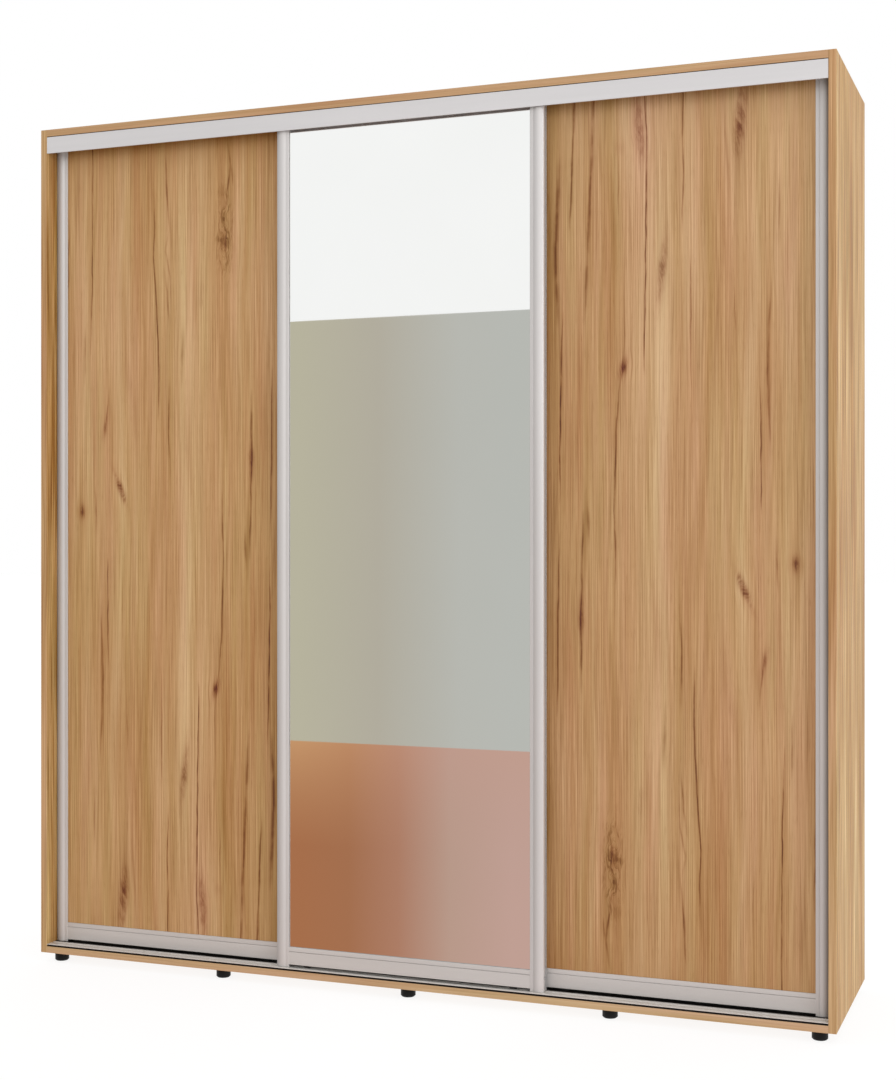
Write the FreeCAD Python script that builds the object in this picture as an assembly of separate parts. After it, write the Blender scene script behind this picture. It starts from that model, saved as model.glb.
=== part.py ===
import FreeCAD, Part
import math
import os

os.makedirs("parts", exist_ok=True)

# ---------------------------------------------------------------------------
# Three-door sliding wardrobe.  Millimetres.  +Z up, front of the body at -Y,
# origin on the floor under the middle of the body.
# ---------------------------------------------------------------------------

# overall body
WIDTH = 2100.0
DEPTH = 505.0
BODY_H = 2205.0
FOOT_H = 25.0
T = 18.0                       # laminated board
BACK_T = 3.0                   # hardboard back
REBATE = 9.0                   # back panel rebate width in the side panels

Z0 = FOOT_H                    # underside of the base board
Z1 = FOOT_H + BODY_H           # top of the body
XO = WIDTH / 2.0
XI = XO - T                    # inner face of a side panel
BACK_S = DEPTH - BACK_T - 0.2  # setback of the back panel's front face
FLOOR_Z = Z0 + T               # upper face of the base board
CEIL_Z = Z1 - T                # lower face of the top board

# partitions and shelves
PART_X = 338.0                 # middle of a partition, behind the door overlap
INNER_S = 82.0                 # setback of partitions' front edges
SHELF_S = 84.0
SHELF_BACK_S = 500.0
TOP_SHELF_Z = 1880.0
MID_SHELVES_Z = (470.0, 890.0, 1310.0)
PIN_R = 2.5
PIN_IN = 9.0
PIN_OUT = 8.0

# hanging rails
RAIL_Z = 1815.0
RAIL_S = 292.0
RAIL_H = 30.0
RAIL_W = 15.0
RAIL_WALL = 1.2

# feet
FOOT_R = 18.4
FOOT_X = (-1008.0, -517.0, 0.0, 517.0, 1008.0)
FOOT_S = 37.0

# doors
DOOR_W = 710.0
DOOR_HALF = DOOR_W / 2.0
REAR_DOOR_X = 676.0            # middle of an outer door
CENTRE_DOOR_X = 4.0            # middle of the middle door
S_FRONT = 10.0                 # setback of the front door's face
S_REAR = 43.0                  # setback of the rear doors' faces
DOOR_D = 30.0
STILE_W = 34.0
FLANGE_W = 8.0                 # flange beside the panel
FLANGE_V = 1.8
STILE_Z0 = 48.5
STILE_Z1 = 2200.0
LOW_RAIL_Z0 = 54.0
LOW_RAIL_H = 45.0
GROOVE_LINE_Z = 34.0           # above the lower rail's underside
TOP_RAIL_Z0 = 2180.0
TOP_RAIL_H = 20.0
SLOT_V0 = 5.4
SLOT_V1 = 16.0
SLOT_DEEP = 9.0
SLOT_LOW = 9.0                 # depth of the slot in the lower rail
BAY_H = 23.0                   # height of the roller bay in the lower rail
PANEL_T = 10.0
MIRROR_T = 4.0
PANEL_IN = 8.0                 # how far a panel enters a stile

# rollers
WHEEL_R = 14.0
WHEEL_W = 5.0
WHEEL_X = 275.0
WHEEL_V = 15.0
AXLE_R = 2.5
BORE_GAP = 0.05
ROLL_GAP = 0.3
GROOVE_FLOOR = 2.2             # of the wheel groove, above the base board

# tracks
TRACK_D = 78.0
TRACK_H = 5.0
TRACK_UNDER = 3.6              # height of the hollow under the bottom track
FASCIA_H = 45.0
WALL_DROP = 30.0


def yy(s):
    """Row Y of a point s behind the front plane."""
    return -DEPTH / 2.0 + s


def box(x0, x1, s0, s1, z0, z1):
    return Part.makeBox(x1 - x0, s1 - s0, z1 - z0, FreeCAD.Vector(x0, yy(s0), z0))


def cyl(r, length, x, s, z, d):
    return Part.makeCylinder(r, length, FreeCAD.Vector(x, yy(s), z), FreeCAD.Vector(*d))


def prism_x(points, x0, x1):
    """A profile in (s, z), extruded along X."""
    pts = [FreeCAD.Vector(x0, yy(s), z) for s, z in points]
    return Part.Face(Part.makePolygon(pts + [pts[0]])).extrude(FreeCAD.Vector(x1 - x0, 0, 0))


def one(shape):
    """The single solid of a boolean's result."""
    shape = shape.removeSplitter()
    return shape.Solids[0] if len(shape.Solids) == 1 else shape


def soften(shape, r, keep):
    """Fillet the edges that keep(edge) picks, if the kernel can."""
    edges = [e for e in shape.Edges if keep(e)]
    try:
        out = shape.makeFillet(r, edges)
        if out.isValid() and len(out.Solids) == 1:
            return out.Solids[0]
    except Exception:
        pass
    return shape


def save(name, *solids):
    shapes = []
    for s in solids:
        shapes += s.Solids
    shape = shapes[0] if len(shapes) == 1 else Part.makeCompound(shapes)
    shape.exportStep("parts/%s.step" % name)


# ---------------------------------------------------------------------------
# Boards
# ---------------------------------------------------------------------------
def side_panel(sign):
    b = box(-XO, -XI, 0, DEPTH, Z0, Z1)
    b = b.cut(box(-XI - REBATE, -XI + 1, BACK_S, DEPTH + 1, Z0 - 1, Z1 + 1))
    b = soften(b, 0.8, lambda e: e.BoundBox.ZLength > 2000 and e.BoundBox.YMin < yy(1))
    return b if sign < 0 else b.mirror(FreeCAD.Vector(0, 0, 0), FreeCAD.Vector(1, 0, 0))


PX0 = PART_X - T / 2.0
PX1 = PART_X + T / 2.0

boards = {
    "side_panel_left": side_panel(-1),
    "side_panel_right": side_panel(1),
    "top_panel": box(-XI, XI, 0, BACK_S, CEIL_Z, Z1),
    "base_panel": box(-XI, XI, 0, BACK_S, Z0, FLOOR_Z),
    "partition_left": box(-PX1, -PX0, INNER_S, BACK_S, FLOOR_Z, CEIL_Z),
    "partition_right": box(PX0, PX1, INNER_S, BACK_S, FLOOR_Z, CEIL_Z),
    "shelf_left_top": box(-XI, -PX1, SHELF_S, SHELF_BACK_S, TOP_SHELF_Z, TOP_SHELF_Z + T),
    "shelf_centre_top": box(-PX0, PX0, SHELF_S, SHELF_BACK_S, TOP_SHELF_Z, TOP_SHELF_Z + T),
    "shelf_right_top": box(PX1, XI, SHELF_S, SHELF_BACK_S, TOP_SHELF_Z, TOP_SHELF_Z + T),
}
for i, z in enumerate(MID_SHELVES_Z):
    boards["shelf_centre_%d" % (i + 1)] = box(
        -PX0 + 0.6, PX0 - 0.6, SHELF_S, SHELF_BACK_S, z, z + T
    )

# ---------------------------------------------------------------------------
# Cam fittings: a housing in one board's face and a bolt screwed into the other
# ---------------------------------------------------------------------------
CAM_R = 7.5
CAM_T = 13.0
CAM_REACH = 34.0
BOLT_R = 3.5
BOLT_IN = 11.0
cams = []


def cam(held, holder, point, along, axis):
    """point (x, s, z) lies on the joint's plane; along points into the board that carries the housing, axis out of the face the housing is let into."""
    x, s, z = point
    p = FreeCAD.Vector(x, yy(s), z)
    a = FreeCAD.Vector(*along)
    n = FreeCAD.Vector(*axis)
    centre = p + a * CAM_REACH
    face = centre + n * (T / 2.0)
    housing = Part.makeCylinder(CAM_R, CAM_T, face - n * CAM_T, n)
    bore = Part.makeCylinder(CAM_R + 0.05, CAM_T + 1, face - n * (CAM_T + 0.05), n)
    bolt = Part.makeCylinder(BOLT_R, BOLT_IN + CAM_REACH - CAM_R - 0.6, p - a * BOLT_IN, a)
    hole = Part.makeCylinder(BOLT_R + 0.05, BOLT_IN + CAM_REACH, p - a * (BOLT_IN + 0.05), a)
    slot = Part.makeBox(9, 1.2, 1.6, FreeCAD.Vector(-4.5, -0.6, -0.6))
    turn = FreeCAD.Rotation(FreeCAD.Vector(0, 0, 1), n)
    slot.Placement = FreeCAD.Placement(face - n * 0.6, turn)
    boards[held] = boards[held].cut(bore).cut(hole)
    boards[holder] = boards[holder].cut(hole)
    cams.append(housing.cut(slot))
    cams.append(bolt)


for s in (60.0, 250.0, 440.0):
    for sign, side in ((-1, "side_panel_left"), (1, "side_panel_right")):
        cam("base_panel", side, (sign * XI, s, Z0 + T / 2), (-sign, 0, 0), (0, 0, -1))
        cam("top_panel", side, (sign * XI, s, CEIL_Z + T / 2), (-sign, 0, 0), (0, 0, 1))
for s in (140.0, 440.0):
    for sign, part in ((-1, "partition_left"), (1, "partition_right")):
        cam(part, "base_panel", (sign * PART_X, s, FLOOR_Z), (0, 0, 1), (sign, 0, 0))
        cam(part, "top_panel", (sign * PART_X, s, CEIL_Z), (0, 0, -1), (sign, 0, 0))
ZS = TOP_SHELF_Z + T / 2
for s in (130.0, 450.0):
    cam("shelf_left_top", "side_panel_left", (-XI, s, ZS), (1, 0, 0), (0, 0, -1))
    cam("shelf_right_top", "side_panel_right", (XI, s, ZS), (-1, 0, 0), (0, 0, -1))
for s in (150.0, 430.0):
    cam("shelf_left_top", "partition_left", (-PX1, s, ZS), (-1, 0, 0), (0, 0, -1))
    cam("shelf_right_top", "partition_right", (PX1, s, ZS), (1, 0, 0), (0, 0, -1))
for s in (190.0, 390.0):
    cam("shelf_centre_top", "partition_left", (-PX0, s, ZS), (1, 0, 0), (0, 0, -1))
    cam("shelf_centre_top", "partition_right", (PX0, s, ZS), (-1, 0, 0), (0, 0, -1))

# ---------------------------------------------------------------------------
# Shelf pins under the loose shelves of the middle bay
# ---------------------------------------------------------------------------
pins = []
for z in MID_SHELVES_Z:
    for s in (130.0, 450.0):
        for sign, part in ((-1, "partition_left"), (1, "partition_right")):
            face = sign * PX0
            boards[part] = boards[part].cut(
                cyl(PIN_R + 0.03, PIN_IN + 1.03, face - sign, s, z - 4.0, (sign, 0, 0))
            )
            pin = cyl(PIN_R, PIN_IN + PIN_OUT, face - sign * PIN_OUT, s, z - 4.0, (sign, 0, 0))
            collar = cyl(4.0, 1.2, face - sign * 1.2, s, z - 4.0, (sign, 0, 0))
            pins.append(one(pin.fuse(collar)))

# ---------------------------------------------------------------------------
# Hanging rails and their end sockets
# ---------------------------------------------------------------------------


def oval(h, w, x0, x1, z, s):
    """A flat-sided oval bar along X, h tall and w wide."""
    r = w / 2.0
    y = yy(s)
    a = FreeCAD.Vector(x0, y - r, z + h / 2 - r)
    b = FreeCAD.Vector(x0, y, z + h / 2)
    c = FreeCAD.Vector(x0, y + r, z + h / 2 - r)
    d = FreeCAD.Vector(x0, y + r, z - h / 2 + r)
    e = FreeCAD.Vector(x0, y, z - h / 2)
    f = FreeCAD.Vector(x0, y - r, z - h / 2 + r)
    wire = Part.Wire(
        [
            Part.Arc(a, b, c).toShape(),
            Part.makeLine(c, d),
            Part.Arc(d, e, f).toShape(),
            Part.makeLine(f, a),
        ]
    )
    return Part.Face(wire).extrude(FreeCAD.Vector(x1 - x0, 0, 0))


def socket(face, sign):
    """A flanged cup on a board's face; sign is the way it stands out."""
    x0, x1 = sorted((face, face + sign * 2.0))
    flange = oval(56.0, 26.0, x0, x1, RAIL_Z, RAIL_S)
    x0, x1 = sorted((face, face + sign * 14.0))
    cup = oval(RAIL_H + 5.0, RAIL_W + 5.0, x0, x1, RAIL_Z, RAIL_S)
    x0, x1 = sorted((face + sign * 2.0, face + sign * 15.0))
    hole = oval(RAIL_H + 0.2, RAIL_W + 0.2, x0, x1, RAIL_Z, RAIL_S)
    return one(flange.fuse(cup).cut(hole))


sockets, socket_screws = [], []


def wood_screw(x, s, z, d, length, head_r=3.6, r=1.75):
    """A countersunk screw; (x, s, z) is the middle of its head's face and d points down the shank."""
    p = FreeCAD.Vector(x, yy(s), z)
    n = FreeCAD.Vector(*d)
    head = Part.makeCone(head_r, r, 2.2, p, n)
    shank = Part.makeCylinder(r, length - 4.0, p, n)
    tip = Part.makeCone(r, 0.4, 4.0, p + n * (length - 4.0), n)
    slot = Part.makeBox(4.4, 0.9, 1.2, FreeCAD.Vector(-2.2, -0.45, -0.1))
    cross = Part.makeBox(0.9, 4.4, 1.2, FreeCAD.Vector(-0.45, -2.2, -0.1))
    recess = slot.fuse(cross)
    recess.Placement = FreeCAD.Placement(p, FreeCAD.Rotation(FreeCAD.Vector(0, 0, 1), n))
    return one(head.fuse(shank).fuse(tip).cut(recess))


def screw_hole(x, s, z, d, length, head_r=3.7, r=1.85):
    p = FreeCAD.Vector(x, yy(s), z)
    n = FreeCAD.Vector(*d)
    sink = Part.makeCone(head_r, r, 2.3, p, n)
    lead = Part.makeCylinder(head_r, 1.0, p - n, n)
    return sink.fuse(Part.makeCylinder(r, length, p, n)).fuse(lead)


screws = []
rails = {}
for name, lo, hi in (("left", -XI, -PX1), ("right", PX1, XI)):
    outer = oval(RAIL_H, RAIL_W, lo + 2.5, hi - 2.5, RAIL_Z, RAIL_S)
    inner = oval(
        RAIL_H - 2 * RAIL_WALL, RAIL_W - 2 * RAIL_WALL, lo + 1.5, hi - 1.5, RAIL_Z, RAIL_S
    )
    rails["hanging_rail_" + name] = one(outer.cut(inner))
    for face, sign in ((lo, 1), (hi, -1)):
        cup = socket(face, sign)
        for dz in (-22.0, 22.0):
            at = (face + sign * 2.0, RAIL_S, RAIL_Z + dz)
            cup = cup.cut(screw_hole(*at, (-sign, 0, 0), 3.0))
            screws.append(wood_screw(*at, (-sign, 0, 0), 15.0))
        sockets.append(one(cup))

# ---------------------------------------------------------------------------
# Back panels in the rebate, each nailed to the rear edges of the boards
# ---------------------------------------------------------------------------
BZ0, BZ1 = Z0 + 1.0, Z1 - 1.0
backs = {
    "back_panel_left": (-XI - REBATE + 0.5, -PART_X - 0.4),
    "back_panel_centre": (-PART_X + 0.4, PART_X - 0.4),
    "back_panel_right": (PART_X + 0.4, XI + REBATE - 0.5),
}
nails = []
for name, (x0, x1) in backs.items():
    boards[name] = box(x0, x1, BACK_S, BACK_S + BACK_T, BZ0, BZ1)


def nail(x, z):
    shank = cyl(0.7, 18.0, x, BACK_S + BACK_T - 18.0, z, (0, 1, 0))
    head = cyl(1.9, 0.6, x, BACK_S + BACK_T - 0.6, z, (0, 1, 0))
    nails.append(one(shank.fuse(head)))


for i in range(9):
    z = 130.0 + i * 250.0
    for x in (-XI - 4.5, -PART_X - 5.0, -PART_X + 5.0, PART_X - 5.0, PART_X + 5.0, XI + 4.5):
        nail(x, z)
for x in (-860.0, -520.0, -170.0, 170.0, 520.0, 860.0):
    nail(x, Z0 + T / 2)
    nail(x, CEIL_Z + T / 2)

# ---------------------------------------------------------------------------
# Feet
# ---------------------------------------------------------------------------
feet = []
for x in FOOT_X:
    for s in (FOOT_S, DEPTH - FOOT_S):
        f = cyl(FOOT_R, FOOT_H - 3.0, x, s, 3.0, (0, 0, 1))
        f = f.fuse(Part.makeCone(FOOT_R - 3.0, FOOT_R, 3.0, FreeCAD.Vector(x, yy(s), 0)))
        f = one(f)
        f = f.cut(cyl(5.0, 15.0, x, s, -1.0, (0, 0, 1)))
        f = f.cut(screw_hole(x, s, 14.0, (0, 0, 1), 12.0))
        feet.append(one(f))
        screws.append(wood_screw(x, s, 14.0, (0, 0, 1), 24.0))

# ---------------------------------------------------------------------------
# Tracks: extruded aluminium
# ---------------------------------------------------------------------------
TX = XI - 0.5
gz = FLOOR_Z


def groove(c):
    return [
        (c - 4.0, TRACK_H),
        (c - 3.2, GROOVE_FLOOR),
        (c + 3.2, GROOVE_FLOOR),
        (c + 4.0, TRACK_H),
    ]


def under(c):
    u = TRACK_UNDER
    return [(c + 5.8, u), (c + 5.0, 0.0), (c - 5.0, 0.0), (c - 5.8, u)]


C_FRONT = S_FRONT + WHEEL_V
C_REAR = S_REAR + WHEEL_V
profile = (
    [(0.3, TRACK_UNDER), (0.3, TRACK_H - 0.4), (0.7, TRACK_H), (5.0, TRACK_H)]
    + [(5.4, TRACK_H - 0.6), (6.6, TRACK_H - 0.6), (7.0, TRACK_H)]
    + groove(C_FRONT)
    + [(36.0, TRACK_H), (36.4, TRACK_H - 0.6), (38.0, TRACK_H - 0.6), (38.4, TRACK_H)]
    + groove(C_REAR)
    + [(TRACK_D, TRACK_H), (TRACK_D, 0.0), (TRACK_D - 1.5, 0.0), (TRACK_D - 1.5, TRACK_UNDER)]
    + under(C_REAR)
    + under(C_FRONT)
    + [(5.5, TRACK_UNDER), (5.5, 0.0), (4.0, 0.0), (4.0, TRACK_UNDER)]
)
bottom_track = prism_x([(s, gz + z) for s, z in profile], -TX, TX)

cz = CEIL_Z
MID0, MID1 = 40.8, 42.2
BACK_W0 = TRACK_D - 1.5
profile = [
    (0.6, -1.2),
    (0.6, -FASCIA_H),
    (4.4, -FASCIA_H),
    (4.4, -FASCIA_H + 1.4),
    (2.4, -FASCIA_H + 1.4),
    (2.4, -2.2),
    (MID0, -2.2),
    (MID0, -WALL_DROP),
    (MID1, -WALL_DROP),
    (MID1, -2.2),
    (BACK_W0, -2.2),
    (BACK_W0, -WALL_DROP),
    (TRACK_D, -WALL_DROP),
    (TRACK_D, 0.0),
    (2.0, 0.0),
    (2.0, -1.2),
]
top_track = prism_x([(s, cz + z) for s, z in profile], -TX, TX)

for i in range(5):
    x = -920.0 + i * 460.0
    for s in (C_FRONT, C_REAR):
        # the heads lie flat, sunk below the groove's floor
        at = (x, s, gz + GROOVE_FLOOR - 0.1)
        bottom_track = bottom_track.cut(screw_hole(*at, (0, 0, -1), 4.0, 2.6, 1.6))
        screws.append(wood_screw(*at, (0, 0, -1), 15.0, 2.5, 1.5))
        at = (x, s, cz - 2.2)
        top_track = top_track.cut(screw_hole(*at, (0, 0, 1), 4.0))
        screws.append(wood_screw(*at, (0, 0, 1), 15.0))
bottom_track = one(bottom_track)
top_track = one(top_track)

# ---------------------------------------------------------------------------
# Doors.  Each is built about its own middle, then moved to its place:
# x is measured from the door's middle and v from its face, backwards.
# ---------------------------------------------------------------------------
PORT_LOW = LOW_RAIL_Z0 + BAY_H + 5.0
PORT_TOP = TOP_RAIL_Z0 + 16.0
PORT_V = (SLOT_V0 + SLOT_V1) / 2.0
PORT_R = 2.1


def at(x, v, z):
    return FreeCAD.Vector(x, v, z)


def plain_box(x0, x1, v0, v1, z0, z1):
    return Part.makeBox(x1 - x0, v1 - v0, z1 - z0, at(x0, v0, z0))


def stile():
    """The right-hand stile: u runs from its outer edge inwards.  A rounded grip, a flat flange beside the panel, and a slot for the panel."""
    h = STILE_Z1 - STILE_Z0
    g = STILE_W - FLANGE_W

    def p(u, v):
        return at(DOOR_HALF - u, v, STILE_Z0)

    # the flange stands slightly proud of the foot of the grip's curve
    outline = [
        Part.Arc(p(0, 4.6), p(g / 2.0 - 1.0, 0), p(g - 0.6, 2.6)).toShape(),
        Part.makeLine(p(g - 0.6, 2.6), p(g, 2.6)),
        Part.makeLine(p(g, 2.6), p(g + 0.4, FLANGE_V)),
        Part.makeLine(p(g + 0.4, FLANGE_V), p(STILE_W - 0.5, FLANGE_V + 0.5)),
        Part.makeLine(p(STILE_W - 0.5, FLANGE_V + 0.5), p(STILE_W, FLANGE_V + 0.9)),
        Part.makeLine(p(STILE_W, FLANGE_V + 0.9), p(STILE_W, SLOT_V0)),
        Part.makeLine(p(STILE_W, SLOT_V0), p(STILE_W - SLOT_DEEP, SLOT_V0)),
        Part.makeLine(p(STILE_W - SLOT_DEEP, SLOT_V0), p(STILE_W - SLOT_DEEP, SLOT_V1)),
        Part.makeLine(p(STILE_W - SLOT_DEEP, SLOT_V1), p(STILE_W, SLOT_V1)),
        Part.makeLine(p(STILE_W, SLOT_V1), p(STILE_W, DOOR_D - 1.0)),
        Part.makeLine(p(STILE_W, DOOR_D - 1.0), p(STILE_W - 1.0, DOOR_D)),
        Part.makeLine(p(STILE_W - 1.0, DOOR_D), p(2.0, DOOR_D)),
        Part.Arc(p(2.0, DOOR_D), p(0.6, DOOR_D - 0.6), p(0, DOOR_D - 2.0)).toShape(),
        Part.makeLine(p(0, DOOR_D - 2.0), p(0, 4.6)),
    ]
    solid = Part.Face(Part.Wire(outline)).extrude(at(0, 0, h))
    # inner chambers, closed by 1.5 to 2 mm walls
    grip = [
        Part.Arc(p(2.0, 6.4), p(g / 2.0 - 1.0, 2.0), p(g - 2.6, 5.0)).toShape(),
        Part.makeLine(p(g - 2.6, 5.0), p(g - 2.6, DOOR_D - 1.8)),
        Part.makeLine(p(g - 2.6, DOOR_D - 1.8), p(2.0, DOOR_D - 1.8)),
        Part.makeLine(p(2.0, DOOR_D - 1.8), p(2.0, 6.4)),
    ]
    solid = solid.cut(Part.Face(Part.Wire(grip)).extrude(at(0, 0, h)))
    x1 = DOOR_HALF - (STILE_W - SLOT_DEEP)
    x0 = DOOR_HALF - (STILE_W - 1.5)
    solid = solid.cut(plain_box(x0, x1, SLOT_V1 + 1.5, DOOR_D - 1.6, STILE_Z0, STILE_Z1))
    # shallow groove for the brush pile
    solid = solid.cut(
        plain_box(DOOR_HALF - 1.2, DOOR_HALF + 1, 18.0, 25.0, STILE_Z0 - 1, STILE_Z1 + 1)
    )
    # screw passages to the two rails
    for z in (PORT_LOW, PORT_TOP):
        solid = solid.cut(
            Part.makeCylinder(3.6, 4.0, at(DOOR_HALF - 3.0, PORT_V, z), at(1, 0, 0))
        )
        solid = solid.cut(
            Part.makeCylinder(
                2.3, 6.0, at(DOOR_HALF - (STILE_W - SLOT_DEEP) - 2.0, PORT_V, z), at(1, 0, 0)
            )
        )
    return one(solid)


def profile_x(points, x0, x1, z):
    pts = [at(x0, v, z + h) for v, h in points]
    return Part.Face(Part.makePolygon(pts + [pts[0]])).extrude(at(x1 - x0, 0, 0))


RX = DOOR_HALF - STILE_W       # half length of a rail


def low_rail():
    h = LOW_RAIL_H
    outline = [
        (2.8, 0.0),
        (2.8, GROOVE_LINE_Z - 1.1),
        (5.0, GROOVE_LINE_Z - 0.8),
        (5.0, GROOVE_LINE_Z + 0.8),
        (2.6, GROOVE_LINE_Z + 1.1),
        (2.6, h - 0.6),
        (3.2, h),
        (SLOT_V0, h),
        (SLOT_V0, h - SLOT_LOW),
        (SLOT_V1, h - SLOT_LOW),
        (SLOT_V1, h),
        (28.0, h),
        (28.0, 0.0),
        (24.6, 0.0),
        (24.6, 1.6),
        (26.2, 1.6),
        (26.2, BAY_H),
        (4.2, BAY_H),
        (4.2, 1.6),
        (5.8, 1.6),
        (5.8, 0.0),
    ]
    r = profile_x(outline, -RX, RX, LOW_RAIL_Z0)
    z = LOW_RAIL_Z0
    r = r.cut(plain_box(-RX, RX, SLOT_V1 + 1.8, 26.4, z + BAY_H + 2.0, z + h - 1.6))
    r = r.cut(Part.makeCylinder(PORT_R + 0.03, 2 * RX, at(-RX, PORT_V, PORT_LOW), at(1, 0, 0)))
    for sx in (-1, 1):
        x = sx * WHEEL_X - sx * 22.0
        r = r.cut(Part.makeCylinder(1.78, 9.5, at(x, WHEEL_V, z + BAY_H - 1.0), at(0, 0, 1)))
    return one(r)


def top_rail():
    h = TOP_RAIL_H
    outline = [
        (3.2, 0.0),
        (2.6, 0.6),
        (2.6, h),
        (28.0, h),
        (28.0, 0.0),
        (SLOT_V1, 0.0),
        (SLOT_V1, 12.0),
        (SLOT_V0, 12.0),
        (SLOT_V0, 0.0),
    ]
    z = TOP_RAIL_Z0
    r = profile_x(outline, -RX, RX, z)
    r = r.cut(plain_box(-RX, RX, SLOT_V1 + 1.8, 26.4, z + 1.6, z + h - 1.6))
    r = r.cut(Part.makeCylinder(PORT_R + 0.03, 2 * RX, at(-RX, PORT_V, PORT_TOP), at(1, 0, 0)))
    for sx in (-1, 1):
        r = r.cut(Part.makeCylinder(1.78, 6.5, at(sx * WHEEL_X, 14.0, z + h - 5.5), at(0, 0, 1)))
    return one(r)


def frame_screw(z, sign):
    """A pan-head screw from inside the stile's grip chamber into a rail's port."""
    head_x = DOOR_HALF - (STILE_W - SLOT_DEEP) + 1.6
    head = Part.makeCylinder(3.4, 2.4, at(head_x, PORT_V, z), at(1, 0, 0))
    shank = Part.makeCylinder(PORT_R, 40.0, at(head_x - 40.0, PORT_V, z), at(1, 0, 0))
    hexa = Part.makeCylinder(1.5, 1.6, at(head_x + 1.2, PORT_V, z), at(1, 0, 0))
    s = one(head.fuse(shank).cut(hexa))
    return s if sign > 0 else s.mirror(at(0, 0, 0), at(1, 0, 0))


def short_screw(x, v, z, d):
    """A small pan-head screw; (x, v, z) is under its head and it points along Z by d."""
    head = Part.makeCylinder(3.0, 1.8, at(x, v, z), at(0, 0, -d))
    shank = Part.makeCylinder(1.75, 9.0, at(x, v, z), at(0, 0, d))
    hexa = Part.makeCylinder(1.2, 1.0, at(x, v, z - d * 1.9), at(0, 0, d))
    return one(head.fuse(shank).cut(hexa))


WHEEL_Z = FLOOR_Z + GROOVE_FLOOR + ROLL_GAP + WHEEL_R
BR_TOP = LOW_RAIL_Z0 + BAY_H


def roller_bracket(sign):
    x = sign * WHEEL_X
    top = plain_box(x - 30, x + 30, 4.4, 26.0, BR_TOP - 1.8, BR_TOP)
    near = plain_box(x - 30, x + 30, WHEEL_V - 5.0, WHEEL_V - 3.2, WHEEL_Z - 7.0, BR_TOP)
    far = plain_box(x - 30, x + 30, WHEEL_V + 3.2, WHEEL_V + 5.0, WHEEL_Z - 7.0, BR_TOP)
    b = top.fuse(near).fuse(far)
    b = b.cut(
        Part.makeCylinder(AXLE_R + 0.02, 14.0, at(x, WHEEL_V - 7.0, WHEEL_Z), at(0, 1, 0))
    )
    b = b.cut(
        Part.makeCylinder(1.8, 4.0, at(x - sign * 22.0, WHEEL_V, BR_TOP - 3.0), at(0, 0, 1))
    )
    axle = Part.makeCylinder(AXLE_R, 11.2, at(x, WHEEL_V - 5.6, WHEEL_Z), at(0, 1, 0))
    return [one(b), axle]


def wheel(sign):
    x = sign * WHEEL_X
    w = Part.makeCylinder(WHEEL_R, WHEEL_W, at(x, WHEEL_V - WHEEL_W / 2, WHEEL_Z), at(0, 1, 0))
    w = soften(w, 1.0, lambda e: abs(e.Length - 2 * math.pi * WHEEL_R) < 1.0)
    # dished sides leave a hub and a tyre
    for v0 in (WHEEL_V - WHEEL_W / 2 - 0.5, WHEEL_V + WHEEL_W / 2 - 0.9):
        dish = Part.makeCylinder(WHEEL_R - 3.0, 1.4, at(x, v0, WHEEL_Z), at(0, 1, 0)).cut(
            Part.makeCylinder(AXLE_R + 2.4, 1.4, at(x, v0, WHEEL_Z), at(0, 1, 0))
        )
        w = w.cut(dish)
    for k in range(5):
        a = 2 * math.pi * k / 5
        w = w.cut(
            Part.makeCylinder(
                1.3,
                WHEEL_W + 2,
                at(x + 8.0 * math.cos(a), WHEEL_V - WHEEL_W / 2 - 1, WHEEL_Z + 8.0 * math.sin(a)),
                at(0, 1, 0),
            )
        )
    w = w.cut(
        Part.makeCylinder(
            AXLE_R + BORE_GAP, WHEEL_W + 2, at(x, WHEEL_V - WHEEL_W / 2 - 1, WHEEL_Z), at(0, 1, 0)
        )
    )
    return one(w)


def guide(sign, v_lo, v_hi):
    """A nylon glide on the top rail: a foot and a broad tongue that nearly fills its channel."""
    x = sign * WHEEL_X
    z = TOP_RAIL_Z0 + TOP_RAIL_H
    foot = plain_box(x - 22, x + 22, 6.0, 22.0, z, z + 2.4)
    tongue = plain_box(x - 22, x + 22, v_lo, v_hi, z + 2.4, z + 7.6)
    tongue = soften(tongue, 5.0, lambda e: abs(e.BoundBox.ZLength - 5.2) < 0.01)
    g = foot.fuse(tongue)
    g = g.cut(Part.makeCylinder(1.8, 12.0, at(x, 14.0, z - 1.0), at(0, 0, 1)))
    g = g.cut(Part.makeCylinder(3.2, 6.0, at(x, 14.0, z + 4.6), at(0, 0, 1)))
    return one(g)


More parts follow.
